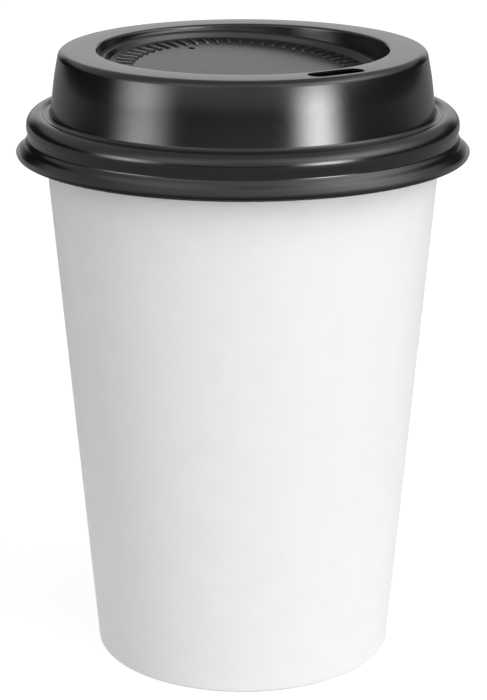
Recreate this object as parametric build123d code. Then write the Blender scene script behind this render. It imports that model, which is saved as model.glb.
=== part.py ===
# A single-wall paper coffee cup with its press-fitted travel lid, in millimetres.
# The origin is the centre of the cup's base, +Z is up, the sip hole is on the -Y side
# and the side seam of the cup is on the +Y side.
from build123d import *
from math import atan, cos, degrees, radians, sin, sqrt, tan
import os

# Paper cup
cup_height = 119.6            # base to the top of the rolled rim
base_radius = 32.5            # outside of the wall at the base
wall_taper = 0.084            # growth of the radius per millimetre of height
board = 0.4                   # thickness of the paperboard
curl_radius = 1.4             # outside of the rolled rim's section
curl_turn = 235               # degrees that the rim is rolled through
bottom_recess = 7.0           # height of the bottom disc's underside above the base
disc_corner_radius = 0.9      # bend from the bottom disc into its skirt
skirt_foot = 0.8              # height of the skirt's lower edge above the base
hem_height = 6.0              # height of the wall's folded-in hem
fold_radius = 0.5             # outside of the two bends of the bottom fold
glue_gap = 0.03               # glued paper faces, each side
lap_angle = 9.0               # full thickness of the side seam's outer layer, degrees
lap_ramp_angle = 6.0          # rise of the outer layer onto the inner one, degrees
lap_end_gap = 0.15            # from the top of the seam's outer layer to the rolled rim

# Lid, a thermoformed film
film = 0.4                    # thickness of the lid
rim_top_clearance = 0.3       # lid above the top of the rolled rim
bead_clearance = 0.62         # lid around the widest part of the rolled rim
groove_clearance = 0.24       # at the groove's corner before it is rounded
shoulder_flat = 0.5           # flat top of the shoulder, inside the bead's roll over the rim
bead_side = 0.55              # straight side of the bead under that roll
groove_fall = 1.9             # heights of the skirt's stretches, each below the last
ridge_fall = 0.8
kink_fall = 0.8
flare_fall = 1.35
lip_fall = 0.25
ridge_step = 0.58             # radii outside the groove's corner
kink_step = 0.88
flare_step = 1.83
lip_step = 2.63
bead_bend = 1.6               # bend radii down the skirt, from the foot of the bead to the lip
groove_bend = 0.9
ridge_bend = 0.8
kink_bend = 1.0
flare_bend = 1.2

dome_height = 12.95           # shoulder's top to the deck
dome_inset = 1.27             # dome's foot inside the mouth of the cup
gutter_depth = 0.6            # gutter between the dome and the shoulder
gutter_rise = 0.65            # width of the slope from the gutter up to the shoulder
gutter_flat = 1.29            # from the dome's foot to that slope
gutter_inner_bend = 1.0       # bend radii of the gutter, from the dome to the shoulder
gutter_outer_bend = 0.6
shoulder_inner_bend = 1.2
dome_bend_height = 8.27       # gutter to the bend of the dome's wall
dome_lower_taper = 0.125
dome_upper_taper = 0.20
dome_bend_radius = 40.0
deck_edge_radius = 1.6        # rounding between the dome's wall and the deck
deck_width = 7.92             # deck between the dome's wall and the recess

mouth_radius = 0.6            # rounding between the deck and the recess
recess_draft = 0.05           # lean of the recess's wall, per millimetre
ledge_depth = 1.07            # ledge below the deck at the shallow side, opposite the sip hole
ledge_width = 1.4
step_depth = 1.2              # ledge to floor
step_run = 0.7
step_radius = 0.45            # rounding at the top and foot of the step
floor_overreach = 2.0         # the floor's sheet runs this far past the recess before it is trimmed
floor_tilt = 5.0              # fall of the ledge and the floor towards the sip hole, degrees

sip_length = 12.8
sip_width = 4.7
vent_diameter = 1.6
vent_inset = 7.9              # vent hole inside the edge of the floor

rib_length = 4.2              # raised radial ribs that ring the floor
rib_width = 1.0
rib_height = 0.35
rib_groove_width = 0.5        # hollow under each rib
rib_inset = 1.2               # outer end of the ribs inside the edge of the floor
rib_pitch = 6.0               # degrees
rib_count = 47

# Places that follow from the sizes above
wall_stretch = sqrt(1 + wall_taper**2)
curl_height = cup_height - curl_radius
curl_inner_radius = curl_radius - board
curl_start_height = curl_height + curl_inner_radius * wall_taper / wall_stretch


def wall_radius(height, depth=0.0):
    """Radius of the cone that lies depth inside the outside face of the cup's wall."""
    return base_radius + wall_taper * height - depth * wall_stretch


curl_centre_radius = wall_radius(curl_start_height) + curl_inner_radius / wall_stretch
rim_radius = curl_centre_radius + curl_radius
mouth_of_cup = curl_centre_radius - curl_radius

shoulder_height = cup_height + rim_top_clearance + film
gutter_height = shoulder_height - gutter_depth
deck_height = shoulder_height + dome_height
dome_foot_radius = mouth_of_cup - dome_inset
dome_bend_place = dome_foot_radius - dome_lower_taper * dome_bend_height
deck_radius = dome_bend_place - dome_upper_taper * (deck_height - gutter_height - dome_bend_height)
recess_radius = deck_radius - deck_width
bead_radius = rim_radius + bead_clearance + film
shoulder_radius = bead_radius - (dome_foot_radius + gutter_flat + gutter_rise) - shoulder_flat
bead_foot_height = shoulder_height - shoulder_radius - bead_side
groove_radius = rim_radius + groove_clearance + film
groove_height = bead_foot_height - groove_fall
ridge_height = groove_height - ridge_fall
kink_height = ridge_height - kink_fall
flare_height = kink_height - flare_fall
lip_height = flare_height - lip_fall
ledge_radius = recess_radius - ledge_width
floor_radius = ledge_radius - step_run
ledge_centre_height = deck_height - ledge_depth - recess_radius * tan(radians(floor_tilt))
pan_radius = recess_radius + floor_overreach
recess_depth = deck_height - ledge_centre_height + pan_radius * tan(radians(floor_tilt))


def direction(start, end):
    length = sqrt((end[0] - start[0]) ** 2 + (end[1] - start[1]) ** 2)
    return (end[0] - start[0]) / length, (end[1] - start[1]) / length


def offset_outline(points, radii, distance):
    """Corner points and bend radii of a line that runs distance to the left of the given one."""
    headings = [direction(a, b) for a, b in zip(points, points[1:])]
    x, y = headings[0]
    moved = [(points[0][0] - distance * y, points[0][1] + distance * x)]
    moved_radii = []
    for corner, radius, (ax, ay), (bx, by) in zip(points[1:-1], radii, headings, headings[1:]):
        reach = distance / (1 + ax * bx + ay * by)
        moved.append((corner[0] - reach * (ay + by), corner[1] + reach * (ax + bx)))
        left_turn = ax * by - ay * bx > 0
        moved_radii.append(radius - distance if left_turn else radius + distance)
    x, y = headings[-1]
    moved.append((points[-1][0] - distance * y, points[-1][1] + distance * x))
    return moved, moved_radii


def sheet_section(points, radii, distance, curl=None):
    """Section of a bent sheet: one face follows the points, the other lies distance to its left.

    curl is the bend radius of the first face and the angle of a roll that ends the sheet."""
    other_points, other_radii = offset_outline(points, radii, distance)
    faces = [FilletPolyline(*points, radius=radii), FilletPolyline(*other_points, radius=other_radii)]
    edges = [edge for face in faces for edge in face.edges()]
    ends = [face @ 1 for face in faces]
    if curl:
        radius, turn = curl
        heading = direction(points[-2], points[-1])
        rolls = [JernArc(ends[0], heading, radius, -turn), JernArc(ends[1], heading, radius + distance, -turn)]
        edges += [edge for roll in rolls for edge in roll.edges()]
        ends = [roll @ 1 for roll in rolls]
    edges.append(Line(*ends))
    edges.append(Line(faces[0] @ 0, faces[1] @ 0))
    return make_face(edges)


def turned(section):
    """Solid of revolution about +Z from a section drawn in radius and height."""
    return revolve(Plane.XZ * section, Axis.Z, 360)


def seam_layer():
    """Outer layer of the side seam: it ramps up from the wall and ends in a square edge."""
    def outline(height):
        radius = wall_radius(height)
        inside = radius - board / 2
        raised = radius + board

        def at(r, angle):
            return r * sin(radians(angle)), r * cos(radians(angle))

        ramp_end = lap_ramp_angle
        lap_end = lap_ramp_angle + lap_angle
        edges = [
            ThreePointArc(at(radius, 0), at(radius + board / 2, ramp_end / 2), at(raised, ramp_end)),
            ThreePointArc(at(raised, ramp_end), at(raised, (ramp_end + lap_end) / 2), at(raised, lap_end)),
            Line(at(raised, lap_end), at(inside, lap_end)),
            ThreePointArc(at(inside, lap_end), at(inside, lap_end / 2), at(inside, 0)),
            Line(at(inside, 0), at(radius, 0)),
        ]
        return Plane.XY.offset(height) * make_face(edges)

    layer = loft([outline(fold_radius), outline(cup_height - 2 * curl_radius - lap_end_gap)], ruled=True)
    return Rot(0, 0, (lap_ramp_angle + lap_angle) / 2) * layer


def cup_sidewall():
    """One folded blank: hem, bottom fold, tapered wall, rolled rim and side seam."""
    hem_depth = 3 * board + 2 * glue_gap
    outline = [
        (wall_radius(hem_height, hem_depth), hem_height),
        (wall_radius(0, hem_depth), 0),
        (base_radius, 0),
        (wall_radius(curl_start_height), curl_start_height),
    ]
    section = sheet_section(outline, [fold_radius, fold_radius], board, curl=(curl_inner_radius, curl_turn))
    return turned(section) + seam_layer()


def cup_bottom():
    """Bottom disc with its skirt turned down into the fold of the wall."""
    depth = board + glue_gap
    top = bottom_recess + board
    outline = [(wall_radius(skirt_foot, depth), skirt_foot), (wall_radius(top, depth), top), (0, top)]
    return turned(sheet_section(outline, [disc_corner_radius], board))


def lid_ring():
    """Recess wall, deck, dome, gutter, bead, groove, ridge and flared lip, all round."""
    outline = [
        (recess_radius - recess_draft * recess_depth, deck_height - recess_depth),
        (recess_radius, deck_height),
        (deck_radius, deck_height),
        (dome_bend_place, gutter_height + dome_bend_height),
        (dome_foot_radius, gutter_height),
        (dome_foot_radius + gutter_flat, gutter_height),
        (dome_foot_radius + gutter_flat + gutter_rise, shoulder_height),
        (bead_radius, shoulder_height),
        (bead_radius, bead_foot_height),
        (groove_radius, groove_height),
        (groove_radius + ridge_step, ridge_height),
        (groove_radius + kink_step, kink_height),
        (groove_radius + flare_step, flare_height),
        (groove_radius + lip_step, lip_height),
    ]
    radii = [
        mouth_radius, deck_edge_radius, dome_bend_radius,
        gutter_inner_bend, gutter_outer_bend, shoulder_inner_bend, shoulder_radius,
        bead_bend, groove_bend, ridge_bend, kink_bend, flare_bend,
    ]
    return turned(sheet_section(outline, radii, -film))


def lid_floor(tilted):
    """Ledge, step and floor of the recess, tilted towards the sip hole, with ribs and a vent hole."""
    outline = [(pan_radius, 0), (ledge_radius, 0), (floor_radius, -step_depth), (0, -step_depth)]
    pan = turned(sheet_section(outline, [step_radius, step_radius], film))

    rib_radius = floor_radius - rib_inset - rib_length / 2
    first_angle = 90 - rib_pitch * (rib_count - 1) / 2
    ribs = []
    hollows = []
    for index in range(rib_count):
        place = Rot(0, 0, first_angle + index * rib_pitch) * Pos(rib_radius, 0, -step_depth)
        ribs.append(place * extrude(SlotOverall(rib_length, rib_width), rib_height, both=True))
        narrowing = rib_width - rib_groove_width
        hollow = extrude(SlotOverall(rib_length - narrowing, rib_groove_width), rib_height)
        hollows.append(place * Pos(0, 0, -film) * hollow)
    pan = pan + ribs - hollows
    vent = Cylinder(vent_diameter / 2, 4 * film)
    return tilted * (pan - Pos(0, floor_radius - vent_inset, -step_depth) * vent)


def lid():
    tilt = radians(floor_tilt)
    tilted = Plane((0, 0, ledge_centre_height), x_dir=(1, 0, 0), z_dir=(0, -sin(tilt), cos(tilt)))
    below_ledge = tilted * Pos(0, 0, -film) * Cylinder(
        pan_radius, 2 * recess_depth, align=(Align.CENTER, Align.CENTER, Align.MAX)
    )
    back_of_wall = film * sqrt(1 + recess_draft**2)
    bottom_radius = recess_radius + back_of_wall - recess_draft * 2 * recess_depth
    inside_wall = Pos(0, 0, deck_height) * Cone(
        bottom_radius, recess_radius + back_of_wall, 2 * recess_depth,
        align=(Align.CENTER, Align.CENTER, Align.MAX),
    )
    sip_radius = (recess_radius + mouth_radius + deck_radius - deck_edge_radius) / 2
    sip_hole = Pos(0, -sip_radius, deck_height) * extrude(SlotOverall(sip_length, sip_width), 2 * film, both=True)
    return (lid_ring() - below_ledge) + (lid_floor(tilted) & inside_wall) - sip_hole


pieces = {"cup_sidewall": cup_sidewall(), "cup_bottom": cup_bottom(), "lid": lid()}
os.makedirs("parts", exist_ok=True)
for name, piece in pieces.items():
    export_step(piece, f"parts/{name}.step")
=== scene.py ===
# Paper coffee cup with a travel lid: looks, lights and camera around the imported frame.
from math import atan2, cos, degrees, hypot, pi, radians, sin, tan

import bmesh
import bpy
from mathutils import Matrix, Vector


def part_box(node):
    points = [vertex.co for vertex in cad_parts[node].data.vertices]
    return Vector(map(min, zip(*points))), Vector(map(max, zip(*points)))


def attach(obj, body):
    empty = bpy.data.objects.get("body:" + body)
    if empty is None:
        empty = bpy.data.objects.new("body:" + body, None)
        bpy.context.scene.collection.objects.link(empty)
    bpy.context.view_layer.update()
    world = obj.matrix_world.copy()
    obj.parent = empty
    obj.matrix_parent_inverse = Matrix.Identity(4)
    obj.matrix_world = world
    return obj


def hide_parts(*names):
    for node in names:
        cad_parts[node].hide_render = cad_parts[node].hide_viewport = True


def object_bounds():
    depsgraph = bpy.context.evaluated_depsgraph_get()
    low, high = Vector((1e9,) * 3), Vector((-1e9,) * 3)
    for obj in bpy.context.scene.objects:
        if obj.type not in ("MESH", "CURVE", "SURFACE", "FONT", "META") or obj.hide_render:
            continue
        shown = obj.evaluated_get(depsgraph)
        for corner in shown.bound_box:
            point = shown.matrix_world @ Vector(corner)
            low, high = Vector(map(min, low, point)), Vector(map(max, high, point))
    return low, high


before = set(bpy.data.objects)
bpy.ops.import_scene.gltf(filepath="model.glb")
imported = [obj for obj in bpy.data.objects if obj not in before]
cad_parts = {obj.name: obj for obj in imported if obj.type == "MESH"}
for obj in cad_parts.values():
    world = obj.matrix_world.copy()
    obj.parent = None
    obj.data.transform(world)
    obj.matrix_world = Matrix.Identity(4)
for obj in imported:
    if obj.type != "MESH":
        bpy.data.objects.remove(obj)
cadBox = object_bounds()

mm = 0.001
hair = 0.01 * mm  # a distance too small to see, for telling places apart
deckZ = cadBox[1].z
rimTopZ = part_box("cup_sidewall")[1].z
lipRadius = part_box("lid")[1].x
print("frame loaded, height in mm:", round(deckZ / mm, 1))


def deselectAll():
    if bpy.context.object and bpy.context.object.mode != "OBJECT":
        bpy.ops.object.mode_set(mode="OBJECT")
    bpy.ops.object.select_all(action="DESELECT")


def makeActive(obj):
    deselectAll()
    obj.select_set(True)
    bpy.context.view_layer.objects.active = obj


def compassAngle(place):
    # degrees clockwise from +Y, seen from above
    return degrees(atan2(place.x, place.y))


def roundCorners(corners):
    # each corner is (radius, height, rounding, tilt); a rounded one becomes the rings of an arc
    degreesPerRing = 8
    rings = [corners[0]]
    for before, corner, after in zip(corners, corners[1:], corners[2:]):
        radius, height, rounding, tilt = corner
        if not rounding:
            rings.append(corner)
            continue
        arriving = atan2(height - before[1], radius - before[0])
        leaving = atan2(after[1] - height, after[0] - radius)
        turn = (leaving - arriving + pi) % (2 * pi) - pi
        side = 1 if turn > 0 else -1
        reach = rounding * tan(abs(turn) / 2)
        centreR = radius - reach * cos(arriving) - side * rounding * sin(arriving)
        centreZ = height - reach * sin(arriving) + side * rounding * cos(arriving)
        steps = max(2, round(degrees(abs(turn)) / degreesPerRing))
        for step in range(steps + 1):
            heading = arriving + turn * step / steps
            r = centreR + side * rounding * sin(heading)
            rings.append((r, centreZ - side * rounding * cos(heading), 0, tilt))
    return rings + [corners[-1]]


def lathe(name, segments, corners, closeEnd=False):
    # a circle is extruded ring by ring along the rounded outline
    rings = roundCorners(corners)
    deselectAll()
    bpy.ops.mesh.primitive_circle_add(vertices=segments, radius=rings[0][0], location=(0, 0, rings[0][1]))
    obj = bpy.context.object
    obj.name = name
    obj.data.name = name
    bpy.ops.object.transform_apply(location=True, rotation=True, scale=True)
    bpy.ops.object.mode_set(mode="EDIT")
    bpy.ops.mesh.select_mode(type="VERT")
    bpy.ops.mesh.select_all(action="SELECT")
    for last, ring in zip(rings, rings[1:]):
        centre = (0, 0, ring[1])
        grow = ring[0] / last[0]
        bpy.ops.mesh.extrude_region_move(TRANSFORM_OT_translate={"value": (0, 0, ring[1] - last[1])})
        bpy.ops.transform.resize(value=(grow, grow, grow), center_override=centre)
        if ring[3] != last[3]:
            fall = radians(last[3] - ring[3])
            bpy.ops.transform.rotate(value=fall, orient_axis="X", center_override=centre)
    if closeEnd:
        bpy.ops.mesh.edge_face_add()
    bpy.ops.mesh.select_all(action="SELECT")
    bpy.ops.mesh.normals_make_consistent(inside=False)
    bpy.ops.object.mode_set(mode="OBJECT")
    return obj


def faceOutwards(obj, direction, place):
    # flips the whole sheet if the face nearest to a place looks away from a direction
    nearest = min(obj.data.polygons, key=lambda face: (face.center - Vector(place)).length)
    if nearest.normal.dot(Vector(direction)) < 0:
        makeActive(obj)
        bpy.ops.object.mode_set(mode="EDIT")
        bpy.ops.mesh.select_all(action="SELECT")
        bpy.ops.mesh.flip_normals()
        bpy.ops.object.mode_set(mode="OBJECT")


def applyModifier(obj, kind, **settings):
    makeActive(obj)
    modifier = obj.modifiers.new(kind.title(), kind)
    for key, value in settings.items():
        setattr(modifier, key, value)
    bpy.ops.object.modifier_apply(modifier=modifier.name)


def selectFaces(obj, wanted):
    # leaves the piece in edit mode with the faces that pass the test selected
    makeActive(obj)
    bpy.ops.object.mode_set(mode="EDIT")
    bpy.ops.mesh.select_mode(type="FACE")
    bpy.ops.mesh.select_all(action="DESELECT")
    shape = bmesh.from_edit_mesh(obj.data)
    for face in shape.faces:
        face.select = wanted(face.calc_center_median())
    bmesh.update_edit_mesh(obj.data)


def pressFaces(obj, wanted, border, depth):
    # each chosen face becomes a small raised or sunk panel with sloping sides
    selectFaces(obj, wanted)
    bpy.ops.mesh.inset(thickness=border, depth=depth, use_individual=True)
    bpy.ops.mesh.select_mode(type="VERT")
    bpy.ops.object.mode_set(mode="OBJECT")


def slotPeg(name, length, width, depth, place):
    # a round peg, pulled apart into a slot
    deselectAll()
    bpy.ops.mesh.primitive_cylinder_add(vertices=48, radius=width / 2, depth=depth, location=place)
    peg = bpy.context.object
    peg.name = name
    bpy.ops.object.transform_apply(location=True, rotation=True, scale=True)
    bpy.ops.object.mode_set(mode="EDIT")
    for side in (-1, 1):
        bpy.ops.mesh.select_all(action="DESELECT")
        shape = bmesh.from_edit_mesh(peg.data)
        for v in shape.verts:
            v.select = (v.co.x - place[0]) * side > hair
        shape.select_flush(True)
        bmesh.update_edit_mesh(peg.data)
        bpy.ops.transform.translate(value=(side * (length - width) / 2, 0, 0))
    bpy.ops.object.mode_set(mode="OBJECT")
    return peg


def cutWith(obj, cutter):
    applyModifier(obj, "BOOLEAN", operation="DIFFERENCE", object=cutter, solver="EXACT")
    bpy.data.objects.remove(cutter)


def finishPiece(obj, material, body, node):
    makeActive(obj)
    bpy.ops.object.shade_smooth_by_angle(angle=radians(35))
    obj.data.materials.append(material)
    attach(obj, body)
    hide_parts(node)
    print(obj.name, "made, faces:", len(obj.data.polygons))


class Socket:
    # wraps a node's output, so that plain expressions add Math nodes
    def __init__(self, tree, out):
        self.tree = tree
        self.out = out

    def node(self, kind, settings, **inputs):
        made = self.tree.nodes.new(kind)
        for key, value in settings.items():
            setattr(made, key, value)
        for key, value in inputs.items():
            slot = made.inputs[int(key[1:])] if key[1:].isdigit() else made.inputs[key]
            if isinstance(value, Socket):
                self.tree.links.new(value.out, slot)
            else:
                slot.default_value = value
        return Socket(self.tree, made.outputs[2 if kind == "ShaderNodeMix" else 0])

    def maths(self, operation, a, b=0.0):
        return self.node("ShaderNodeMath", {"operation": operation}, i0=a, i1=b)

    def __add__(self, other):
        return self.maths("ADD", self, other)

    def __radd__(self, other):
        return self.maths("ADD", other, self)

    def __sub__(self, other):
        return self.maths("SUBTRACT", self, other)

    def __rsub__(self, other):
        return self.maths("SUBTRACT", other, self)

    def __mul__(self, other):
        return self.maths("MULTIPLY", self, other)

    def __rmul__(self, other):
        return self.maths("MULTIPLY", other, self)

    def __abs__(self):
        return self.maths("ABSOLUTE", self)

    def ease(self, low, high):
        # 0 below low, 1 above high and smooth between them
        settings = {"interpolation_type": "SMOOTHSTEP"}
        return self.node("ShaderNodeMapRange", settings, Value=self, i1=low, i2=high)

    def noise(self, scale, detail, roughness=0.5):
        settings = {"Scale": scale, "Detail": detail, "Roughness": roughness}
        return self.node("ShaderNodeTexNoise", {}, Vector=self, **settings)

    def bump(self, strength, distance):
        return self.node("ShaderNodeBump", {}, Height=self, Strength=strength, Distance=distance)

    def blend(self, low, high):
        # this value leads from one colour to the other
        return self.node("ShaderNodeMix", {"data_type": "RGBA"}, i0=self, i6=low, i7=high)

    def parts(self):
        split = self.node("ShaderNodeSeparateXYZ", {}, i0=self)
        return [Socket(self.tree, out) for out in split.out.node.outputs]

    def drive(self, shader, name):
        self.tree.links.new(self.out, shader.inputs[name])


def newMaterial(name, look):
    material = bpy.data.materials.new(name)
    material.use_nodes = True
    tree = material.node_tree
    shader = tree.nodes["Principled BSDF"]
    shader.inputs["Base Color"].default_value = (*look["colour"], 1)
    shader.inputs["Roughness"].default_value = look["roughness"]
    shader.inputs["IOR"].default_value = look["ior"]
    coords = tree.nodes.new("ShaderNodeTexCoord")
    return material, shader, Socket(tree, coords.outputs["Object"])


plastic = {
    "colour": (0.0072, 0.0072, 0.0076), "roughness": 0.2, "ior": 1.58,
    "grain": 900, "wave": 55, "waveDepth": 0.12 * mm,
}


def lidPlastic():
    material, shader, place = newMaterial("lidPlastic", plastic)
    grain = place.noise(plastic["grain"], 3)
    wave = place.noise(plastic["wave"], 1)
    rough = plastic["roughness"] + (grain - 0.5) * 0.06 + (wave - 0.5) * 0.05
    rough.drive(shader, "Roughness")
    relief = wave * 0.8 + grain * 0.04
    relief.bump(0.35, plastic["waveDepth"]).drive(shader, "Normal")
    return material


paper = {
    "colour": (0.855, 0.855, 0.85), "shade": (0.815, 0.815, 0.805), "cutEdge": (0.66, 0.62, 0.55),
    "roughness": 0.5, "coatedRoughness": 0.3, "ior": 1.45,
    "fibre": 1400, "mottle": 160, "fibreDepth": 0.05 * mm,
}

cupUser = {
    "segments": 180, "board": 0.4 * mm, "baseRadius": 32.5 * mm, "taper": 0.084, "fold": 0.5 * mm,
    "hemHeight": 6.0 * mm, "glue": 0.03 * mm, "curl": 1.4 * mm, "curlTurn": 235,
    "seamStart": -7.5, "seamFull": -1.5, "seamEnd": 7.5, "seamCut": 0.05,
    "seamFoot": 0.62 * mm, "seamTop": 116.5 * mm, "seamFall": 0.15 * mm,
    "knurlLow": 1.3 * mm, "knurlHigh": 5.0 * mm, "knurlBorder": 0.16 * mm, "knurlDepth": 0.12 * mm,
    "recess": 7.0 * mm, "skirtFoot": 0.8 * mm, "discCorner": 0.9 * mm, "discRings": (24 * mm, 8 * mm),
    "wallRings": 9, "ringGap": 12 * mm, "curlRings": 26,
}


def wallRadius(height, depth=0.0):
    # cone that lies depth inside the outside face of the wall
    return cupUser["baseRadius"] + cupUser["taper"] * height - depth * hypot(1, cupUser["taper"])


def coatedBoard(name, look):
    # fibres and a faint mottle, a glossier coating inside and a raw edge where the seam was cut
    material, shader, place = newMaterial(name, look)
    x, y, z = place.parts()
    fibre = place.noise(look["fibre"], 4, 0.6)
    mottle = place.noise(look["mottle"], 3)
    radius = place.maths("SQRT", x * x + y * y)
    inside = (z * cupUser["taper"] + wallRadius(0, cupUser["board"]) - radius).ease(-0.2 * mm, 0.1 * mm)
    cutAngle = radians(cupUser["seamEnd"] - cupUser["seamCut"] / 2)
    fromCut = abs(place.maths("ARCTAN2", x, y) - cutAngle) * radius
    cut = (1 - fromCut.ease(0.03 * mm, 0.09 * mm)) * (1 - inside)
    plain = (mottle * 1.2 - 0.42).blend((*look["colour"], 1), (*look["shade"], 1))
    cut.blend(plain, (*look["cutEdge"], 1)).drive(shader, "Base Color")
    coated = inside * (look["coatedRoughness"] - look["roughness"])
    rough = coated + look["roughness"] + (mottle - 0.5) * 0.12
    rough.drive(shader, "Roughness")
    relief = fibre * 0.5 + mottle * 0.5
    relief.bump(0.25, look["fibreDepth"]).drive(shader, "Normal")
    return material


# lid: radii run inwards from the lip, heights down from the shoulder or from the deck
lidUser = {
    "segments": 180, "film": 0.4 * mm, "tilt": 5.0,
    "shoulderDrop": 12.95 * mm, "gutterDrop": 13.55 * mm, "bendDrop": 5.28 * mm,
    "footRadius": 40.76 * mm, "bendRadius": 39.73 * mm, "deckRadius": 38.67 * mm, "recessRadius": 30.75 * mm,
    "ledgeDrop": 3.76 * mm, "ledgeRadius": 29.35 * mm, "floorRadius": 28.65 * mm, "stepDepth": 1.2 * mm,
    "ribOuter": 27.45 * mm, "ribInner": 23.25 * mm, "ribHeight": 0.35 * mm, "ribBorder": 0.13 * mm,
    "ribSpread": 140, "sipLength": 12.8 * mm, "sipWidth": 4.7 * mm, "sipRadius": 34.2 * mm,
    "vent": 1.6 * mm, "ventRadius": 20.75 * mm,
}


def lidCorners():
    user = lidUser
    tilt = user["tilt"]
    ledgeZ = deckZ - user["ledgeDrop"]
    floorZ = ledgeZ - user["stepDepth"]
    shoulderZ = deckZ - user["shoulderDrop"]
    gutterZ = deckZ - user["gutterDrop"]
    foot = user["footRadius"]

    def skirt(inset, drop, rounding):
        return (lipRadius - inset * mm, shoulderZ - drop * mm, rounding * mm, 0)

    return [
        skirt(0, 8.3, 0),  # lip
        skirt(0.8, 8.05, 1.2),  # flare
        skirt(1.75, 6.7, 1.0),  # kink above the flare
        skirt(2.05, 5.9, 0.8),  # ridge
        skirt(2.63, 5.1, 0.9),  # groove under the rim
        skirt(2.25, 3.2, 1.6),  # side of the bead
        skirt(2.25, 0, 2.65),  # roll of the bead over the rim
        (foot + 1.94 * mm, shoulderZ, 1.2 * mm, 0),  # crest of the shoulder
        (foot + 1.29 * mm, gutterZ, 0.6 * mm, 0),  # gutter, outer side
        (foot, gutterZ, 1.0 * mm, 0),  # gutter, foot of the dome
        (user["bendRadius"], deckZ - user["bendDrop"], 40 * mm, 0),  # bend of the dome's wall
        (user["deckRadius"], deckZ, 1.6 * mm, 0),  # edge of the deck
        (user["recessRadius"], deckZ, 0.6 * mm, 0),  # mouth of the recess
        (user["recessRadius"] - 0.15 * mm, ledgeZ, 0, tilt),  # ledge, at the wall
        (user["ledgeRadius"], ledgeZ, 0.45 * mm, tilt),  # step, top
        (user["floorRadius"], floorZ, 0.45 * mm, tilt),  # step, foot
        (user["ribOuter"], floorZ, 0, tilt),
        (user["ribInner"], floorZ, 0, tilt),
        (user["ribInner"] - 6 * mm, floorZ, 0, tilt),
    ]


def makeLid():
    user = lidUser
    lid = lathe("travelLid", user["segments"], lidCorners(), closeEnd=True)
    faceOutwards(lid, (0, 0, 1), (user["recessRadius"] + 4 * mm, 0, deckZ))

    # every third face of the floor's outer band stands up as a short radial rib
    middle = (user["ribOuter"] + user["ribInner"]) / 2
    pitch = 360 / user["segments"]
    facesPerRib = 3

    def onRib(at):
        column = round(compassAngle(at) / pitch - 0.5)
        onBand = abs(hypot(at.x, at.y) - middle) < 1.5 * mm and at.z < deckZ
        return onBand and abs(compassAngle(at)) < user["ribSpread"] and column % facesPerRib == 0

    pressFaces(lid, onRib, user["ribBorder"], user["ribHeight"])
    applyModifier(lid, "SOLIDIFY", thickness=user["film"], offset=-1, use_even_offset=True)
    pegDepth = 5 * user["film"]
    sipPlace = (0, -user["sipRadius"], deckZ)
    cutWith(lid, slotPeg("sipCutter", user["sipLength"], user["sipWidth"], pegDepth, sipPlace))
    floorZ = deckZ - user["ledgeDrop"] - user["stepDepth"] + user["ventRadius"] * tan(radians(user["tilt"]))
    ventPlace = (0, user["ventRadius"], floorZ)
    cutWith(lid, slotPeg("ventCutter", user["vent"] + hair, user["vent"], pegDepth, ventPlace))
    finishPiece(lid, lidPlastic(), "lid", "lid")


def raiseSeam(wall):
    # the outer layer of the glued seam: a ramp, then its full thickness up to a square cut edge
    user = cupUser
    cutStart = user["seamEnd"] - user["seamCut"]
    nearSeam = 20
    for angle in (user["seamStart"], user["seamFull"], cutStart, user["seamEnd"]):
        turn = radians(angle)
        selectFaces(wall, lambda at: at.y > 0 and abs(compassAngle(at)) < nearSeam)
        bpy.ops.mesh.bisect(plane_co=(0, 0, 0), plane_no=(cos(turn), -sin(turn), 0))
    bpy.ops.mesh.select_mode(type="VERT")
    bpy.ops.object.mode_set(mode="OBJECT")
    middle = cutStart + user["seamCut"] / 2
    rampWidth = user["seamFull"] - user["seamStart"]
    for v in wall.data.vertices:
        radius = hypot(v.co.x, v.co.y)
        angle = compassAngle(v.co)
        outside = radius > wallRadius(v.co.z) - 0.1 * mm
        onSeam = user["seamFoot"] - hair < v.co.z < user["seamTop"] + hair
        if outside and onSeam and angle < middle:
            share = min(1, max(0, (angle - user["seamStart"]) / rampWidth))
            v.co.x *= 1 + share * user["board"] / radius
            v.co.y *= 1 + share * user["board"] / radius


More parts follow.
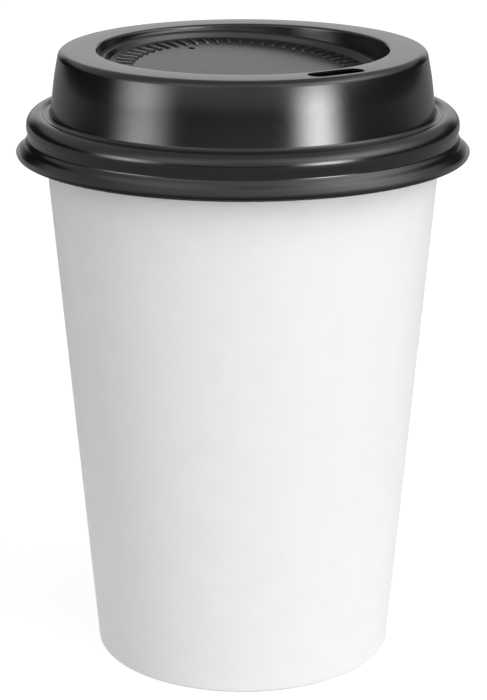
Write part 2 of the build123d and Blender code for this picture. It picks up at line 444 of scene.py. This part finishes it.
def makeSidewall():
    user = cupUser
    board = user["board"]
    stretch = hypot(1, user["taper"])
    hem = 3 * board + 2 * user["glue"]
    curlZ = rimTopZ - user["curl"]
    inner = user["curl"] - board
    startZ = curlZ + inner * user["taper"] / stretch
    curlR = wallRadius(startZ) + inner / stretch
    hemHeights = (user["hemHeight"], user["knurlHigh"], user["knurlLow"])
    corners = [(wallRadius(z, hem), z, 0, 0) for z in hemHeights]
    corners.append((wallRadius(0, hem), 0, user["fold"], 0))
    corners.append((wallRadius(0), 0, user["fold"], 0))
    heights = [user["seamFoot"]] + [step * user["ringGap"] for step in range(1, user["wallRings"] + 1)]
    heights += [user["seamTop"], user["seamTop"] + user["seamFall"], startZ]
    corners += [(wallRadius(z), z, 0, 0) for z in heights]
    for ring in range(1, user["curlRings"] + 1):
        angle = atan2(user["taper"], -1) - radians(user["curlTurn"]) * ring / user["curlRings"]
        corners.append((curlR + inner * cos(angle), curlZ + inner * sin(angle), 0, 0))
    wall = lathe("cupSidewall", user["segments"], corners)
    middleZ = startZ / 2
    faceOutwards(wall, (1, 0, 0), (wallRadius(middleZ), 0, middleZ))
    applyModifier(wall, "SOLIDIFY", thickness=board, offset=-1, use_even_offset=True)

    # pressed marks where the hem was crimped onto the bottom disc
    knurlZ = (user["knurlLow"] + user["knurlHigh"]) / 2
    pitch = 360 / user["segments"]

    def onKnurl(at):
        onHem = abs(at.z - knurlZ) < 1 * mm and hypot(at.x, at.y) < wallRadius(at.z, hem) + 0.1 * mm
        return onHem and round(compassAngle(at) / pitch - 0.5) % 2 == 0

    pressFaces(wall, onKnurl, user["knurlBorder"], -user["knurlDepth"])
    raiseSeam(wall)
    finishPiece(wall, coatedBoard("cupBoard", paper), "cup", "cup_sidewall")


def makeBottom():
    user = cupUser
    depth = user["board"] + user["glue"]
    top = user["recess"] + user["board"]
    corners = [
        (wallRadius(user["skirtFoot"], depth), user["skirtFoot"], 0, 0),
        (wallRadius(top, depth), top, user["discCorner"], 0),
    ]
    corners += [(radius, top, 0, 0) for radius in user["discRings"]]
    disc = lathe("cupBottom", user["segments"], corners, closeEnd=True)
    faceOutwards(disc, (0, 0, 1), (user["discRings"][0] + 2 * mm, 0, top))
    applyModifier(disc, "SOLIDIFY", thickness=user["board"], offset=-1, use_even_offset=True)
    finishPiece(disc, coatedBoard("bottomBoard", paper), "cup", "cup_bottom")


# camera: angles in degrees, places in metres
view = {
    "azimuth": -32.6, "distance": 0.4664, "height": 0.2137,
    "pitch": 17.5, "lens": 114.85, "shift": 0.0008,
}

stage = {
    "floorRadius": 3.0, "floorColour": (0.31, 0.31, 0.31),
    "glow": 0.80, "glowAround": 0.05, "glowHalfWidth": 0.07, "glowSpread": 0.12,
    "glowStart": -0.2, "glowFull": -0.05, "glowLength": 1.05, "glowFade": 1.3,
    "front": 0.66, "frontEase": 0.6, "overhead": 0.42, "overheadLean": 0.12, "overheadFrom": 0.17,
    "overheadFull": 0.29, "behind": 0.86, "behindFrom": 0.86, "behindFull": 0.97, "backdrop": 0.35,
}

# soft boxes of the studio, around the view's own direction; rise is the sine of their height
boxes = [
    {"azimuth": 44.5, "rise": 0.06, "halfWidth": 0.33, "halfHeight": 0.32, "strength": 18.0},
    {"azimuth": -62, "rise": 0.11, "halfWidth": 0.42, "halfHeight": 0.30, "strength": 6.6},
    {"azimuth": 68, "rise": 0.55, "halfWidth": 0.80, "halfHeight": 0.42, "strength": 3.0},
    {"azimuth": -40, "rise": 0.55, "halfWidth": 0.70, "halfHeight": 0.40, "strength": 0.75},
]


def makeFloor():
    deselectAll()
    bpy.ops.mesh.primitive_circle_add(vertices=96, radius=stage["floorRadius"], fill_type="NGON")
    floor = bpy.context.object
    floor.name = "floor"
    look = {"colour": stage["floorColour"], "roughness": 0.9, "ior": 1.45}
    material, shader, place = newMaterial("paleFloor", look)
    x, y, z = place.parts()
    turn = radians(view["azimuth"])
    away = y * cos(turn) - x * sin(turn)
    across = x * cos(turn) + y * sin(turn)
    # the sheet glows, a painted pool of light that camera, glossy and transmission rays see: white under the
    # cup and behind it, falling off to a pale grey around
    halfWidth = stage["glowHalfWidth"]
    length = stage["glowLength"]
    wide = 1 - (abs(across) - away * stage["glowSpread"]).ease(halfWidth, halfWidth * 2)
    ending = 1 - away.ease(length, length * stage["glowFade"])
    deep = away.ease(stage["glowStart"], stage["glowFull"]) * ending
    glow = wide * deep * (stage["glow"] - stage["glowAround"]) + stage["glowAround"]
    rays = Socket(place.tree, place.tree.nodes.new("ShaderNodeLightPath").outputs[0])
    kinds = {out.name: Socket(place.tree, out) for out in rays.out.node.outputs}
    seen = place.maths("MAXIMUM", kinds["Is Camera Ray"], kinds["Is Glossy Ray"])
    seen = place.maths("MAXIMUM", seen, kinds["Is Transmission Ray"])
    shader.inputs["Emission Strength"].default_value = 1
    (seen * glow).drive(shader, "Emission Color")
    floor.data.materials.append(material)


def makeWorld():
    world = bpy.data.worlds.new("studio")
    bpy.context.scene.world = world
    world.use_nodes = True
    tree = world.node_tree
    coords = tree.nodes.new("ShaderNodeTexCoord")
    x, y, up = Socket(tree, coords.outputs["Generated"]).parts()
    turn = radians(view["azimuth"])
    away = y * cos(turn) - x * sin(turn)
    frontShare = (0 - away).ease(0, stage["frontEase"])
    level = frontShare * (stage["front"] - stage["overhead"]) + stage["overhead"]
    height = up - away * stage["overheadLean"]
    overhead = height.ease(stage["overheadFrom"], stage["overheadFull"]) * level
    nearHorizon = up.ease(-0.1, 0.1)
    behind = away.ease(stage["behindFrom"], stage["behindFull"]) * nearHorizon * stage["behind"]
    strength = up.maths("MAXIMUM", overhead, behind)
    for box in boxes:
        facing = turn + radians(box["azimuth"])
        along = x * sin(facing) - y * cos(facing)
        across = x * cos(facing) + y * sin(facing)
        sideways = 1 - abs(across).ease(0, box["halfWidth"])
        upright = 1 - abs(up - box["rise"]).ease(0, box["halfHeight"])
        strength = strength + sideways * upright * along.ease(0, 0.1) * box["strength"]
    # past the floor's edge the camera sees a plain backdrop in the floor's far tone
    seen = Socket(tree, tree.nodes.new("ShaderNodeLightPath").outputs["Is Camera Ray"])
    strength = strength + seen * (stage["backdrop"] - strength)
    strength.drive(tree.nodes["Background"], "Strength")
    tree.nodes["Background"].inputs["Color"].default_value = (1, 1, 1, 1)


def makeCamera():
    data = bpy.data.cameras.new("camera")
    data.sensor_width = 36
    data.lens = view["lens"]
    data.shift_x = view["shift"]
    data.clip_start = 0.01
    camera = bpy.data.objects.new("camera", data)
    bpy.context.collection.objects.link(camera)
    turn = radians(view["azimuth"])
    camera.location = (sin(turn) * view["distance"], -cos(turn) * view["distance"], view["height"])
    camera.rotation_euler = (radians(90 - view["pitch"]), 0, turn)
    bpy.context.scene.camera = camera


makeCamera()
makeLid()
makeSidewall()
makeBottom()
makeFloor()
makeWorld()
bpy.context.scene.view_settings.view_transform = "Standard"
print("floor, light and camera set")
